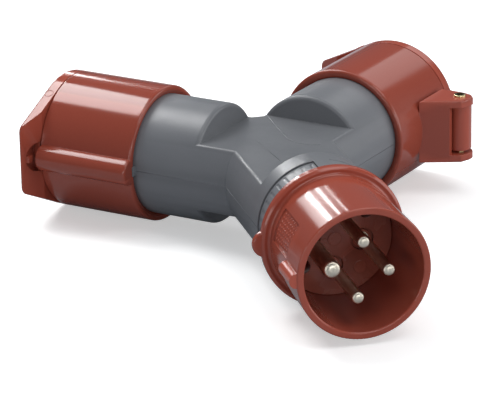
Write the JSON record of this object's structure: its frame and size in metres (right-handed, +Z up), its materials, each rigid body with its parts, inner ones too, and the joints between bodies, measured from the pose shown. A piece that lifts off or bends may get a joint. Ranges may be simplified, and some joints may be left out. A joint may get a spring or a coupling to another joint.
{
  "type": "power splitter adaptor",
  "caption": "Y-shaped splitter for industrial pin-and-sleeve connectors: shrouded plug, flat-topped grey body and red sprung-lid sockets.",
  "frame": {"origin": "point where the plug's axis and the two arms' axes meet, in the parting plane of the grey body", "axes": "-Y along the plug's axis out of its mouth; the arms run at 45 degrees either side of +Y, the left one toward -X; +Z up, square to the flat deck"},
  "size_m": [0.2019, 0.2296, 0.0604],
  "materials": {
    "grey_plastic": "satin, fine moulded grain",
    "red_plastic": "smooth moulded gloss",
    "dark_red_plastic": "smooth moulded, slightly duller",
    "nickel_plate": "bright nickel plate",
    "brass": "drawn, bright",
    "zinc_steel": "zinc plated",
    "spring_steel": "drawn wire",
    "seal_rubber": "matt",
    "tinned_copper": "crimped, tin plated",
    "green_yellow_insulation": "satin",
    "brown_insulation": "satin",
    "black_insulation": "satin",
    "grey_insulation": "satin"
  },
  "bodies": {
    "adaptor": {"body_upper_shell": "grey_plastic", "body_lower_shell": "grey_plastic", "body_screws": "zinc_steel", "neck_locking_band": "grey_plastic", "plug_shroud": "red_plastic", "plug_pin_carrier": "dark_red_plastic", "plug_carrier_screws": "zinc_steel", "plug_terminal_screws": "zinc_steel", "earth_pin": "nickel_plate", "line_pin_1": "nickel_plate", "line_pin_2": "nickel_plate", "line_pin_3": "nickel_plate", "earth_wires": "green_yellow_insulation", "line_1_wires": "brown_insulation", "line_2_wires": "black_insulation", "line_3_wires": "grey_insulation", "twin_ferrules": "tinned_copper", "socket_housing_left": "red_plastic", "contact_carrier_left": "dark_red_plastic", "carrier_screws_left": "zinc_steel", "earth_contact_left": "brass", "line_contacts_left": "brass", "terminal_screws_left": "zinc_steel", "hinge_pin_left": "brass", "lid_spring_left": "spring_steel", "socket_housing_right": "red_plastic", "contact_carrier_right": "dark_red_plastic", "carrier_screws_right": "zinc_steel", "earth_contact_right": "brass", "line_contacts_right": "brass", "terminal_screws_right": "zinc_steel", "hinge_pin_right": "brass", "lid_spring_right": "spring_steel"},
    "left_lid": {"lid_left": "red_plastic", "lid_gasket_left": "seal_rubber"},
    "right_lid": {"lid_right": "red_plastic", "lid_gasket_right": "seal_rubber"}
  },
  "joints": [
    {"name": "lid_left_hinge", "type": "hinge", "parent": "adaptor", "child": "left_lid", "pos_m": [-0.03507, 0.09306, 0], "axis": [0, 0, -1], "range_deg": [0, 150], "stiffness_Nm_per_rad": 0.004, "springref_deg": -45.84},
    {"name": "lid_right_hinge", "type": "hinge", "parent": "adaptor", "child": "right_lid", "pos_m": [0.09306, 0.03507, 0], "axis": [0, 0, -1], "range_deg": [0, 150], "stiffness_Nm_per_rad": 0.004, "springref_deg": -45.84}
  ]
}
